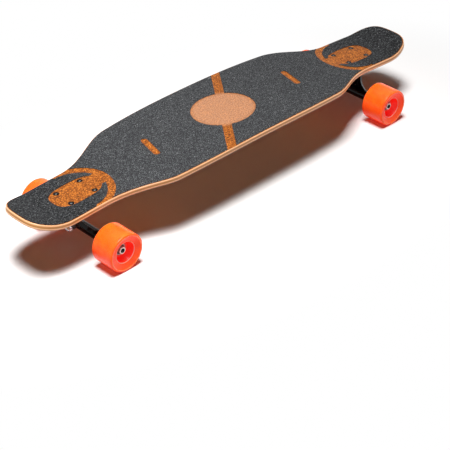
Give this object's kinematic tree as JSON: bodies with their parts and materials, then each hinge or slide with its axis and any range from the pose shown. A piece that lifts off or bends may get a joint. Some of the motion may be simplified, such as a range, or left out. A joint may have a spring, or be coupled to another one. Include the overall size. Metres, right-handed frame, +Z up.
{
  "type": "longboard skateboard",
  "caption": "Cambered longboard with narrow necks, cork and grip top, reverse-kingpin trucks and soft wide wheels.",
  "frame": {"origin": "on the floor, under the middle of the deck", "axes": "+X along the board from nose to tail, +Y across it, +Z up"},
  "size_m": [0.989, 0.2524, 0.1304],
  "materials": {
    "deck_wood": "satin lacquered ply with a cork top sheet",
    "grip": "coarse grit sheet",
    "cast_black": "gloss black paint on cast metal",
    "black_steel": "black oxide",
    "bright_steel": "bright zinc plate",
    "chrome": "polished",
    "bushing": "satin urethane",
    "urethane": "smooth slightly translucent urethane",
    "wheel_core": "moulded"
  },
  "bodies": {
    "deck": {"deck": "deck_wood", "grip_nose": "grip", "grip_front": "grip", "grip_rear": "grip", "grip_tail": "grip", "bolt_front_1": "black_steel", "locknut_front_1": "black_steel", "bolt_front_2": "black_steel", "locknut_front_2": "black_steel", "bolt_front_3": "black_steel", "locknut_front_3": "black_steel", "bolt_front_4": "black_steel", "locknut_front_4": "black_steel", "baseplate_front": "cast_black", "kingpin_front": "bright_steel", "kingpin_nut_front": "bright_steel", "cup_washer_front": "chrome", "boardside_bushing_front": "bushing", "roadside_bushing_front": "bushing", "pivot_cup_front": "bushing", "bolt_rear_1": "black_steel", "locknut_rear_1": "black_steel", "bolt_rear_2": "black_steel", "locknut_rear_2": "black_steel", "bolt_rear_3": "black_steel", "locknut_rear_3": "black_steel", "bolt_rear_4": "black_steel", "locknut_rear_4": "black_steel", "baseplate_rear": "cast_black", "kingpin_rear": "bright_steel", "kingpin_nut_rear": "bright_steel", "cup_washer_rear": "chrome", "boardside_bushing_rear": "bushing", "roadside_bushing_rear": "bushing", "pivot_cup_rear": "bushing"},
    "front_hanger": {"hanger_front": "cast_black", "axle_front": "bright_steel", "axle_nut_front_a": "bright_steel", "axle_nut_front_b": "bright_steel"},
    "wheel_front_a": {"tyre_front_a": "urethane", "core_front_a": "wheel_core", "inner_bearing_front_a": "bright_steel", "outer_bearing_front_a": "bright_steel"},
    "wheel_front_b": {"tyre_front_b": "urethane", "core_front_b": "wheel_core", "inner_bearing_front_b": "bright_steel", "outer_bearing_front_b": "bright_steel"},
    "rear_hanger": {"hanger_rear": "cast_black", "axle_rear": "bright_steel", "axle_nut_rear_a": "bright_steel", "axle_nut_rear_b": "bright_steel"},
    "wheel_rear_a": {"tyre_rear_a": "urethane", "core_rear_a": "wheel_core", "inner_bearing_rear_a": "bright_steel", "outer_bearing_rear_a": "bright_steel"},
    "wheel_rear_b": {"tyre_rear_b": "urethane", "core_rear_b": "wheel_core", "inner_bearing_rear_b": "bright_steel", "outer_bearing_rear_b": "bright_steel"}
  },
  "joints": [
    {"name": "front_steer", "type": "hinge", "parent": "deck", "child": "front_hanger", "pos_m": [-0.39938, 0, 0.08561], "axis": [-0.6494, 0, 0.7604], "range_deg": [-18, 18], "stiffness_Nm_per_rad": 40, "deforming": ["boardside_bushing_front", "roadside_bushing_front", "pivot_cup_front"]},
    {"name": "wheel_front_a_spin", "type": "hinge", "parent": "front_hanger", "child": "wheel_front_a", "pos_m": [-0.35814, -0.0965, 0.03732], "axis": [0, 1, 0], "continuous": true},
    {"name": "wheel_front_b_spin", "type": "hinge", "parent": "front_hanger", "child": "wheel_front_b", "pos_m": [-0.35814, 0.0965, 0.03732], "axis": [0, 1, 0], "continuous": true},
    {"name": "rear_steer", "type": "hinge", "parent": "deck", "child": "rear_hanger", "pos_m": [0.39938, 0, 0.08561], "axis": [0.6494, 0, 0.7604], "range_deg": [-18, 18], "stiffness_Nm_per_rad": 40, "deforming": ["boardside_bushing_rear", "roadside_bushing_rear", "pivot_cup_rear"]},
    {"name": "wheel_rear_a_spin", "type": "hinge", "parent": "rear_hanger", "child": "wheel_rear_a", "pos_m": [0.35814, 0.0965, 0.03732], "axis": [0, 1, 0], "continuous": true},
    {"name": "wheel_rear_b_spin", "type": "hinge", "parent": "rear_hanger", "child": "wheel_rear_b", "pos_m": [0.35814, -0.0965, 0.03732], "axis": [0, 1, 0], "continuous": true}
  ]
}
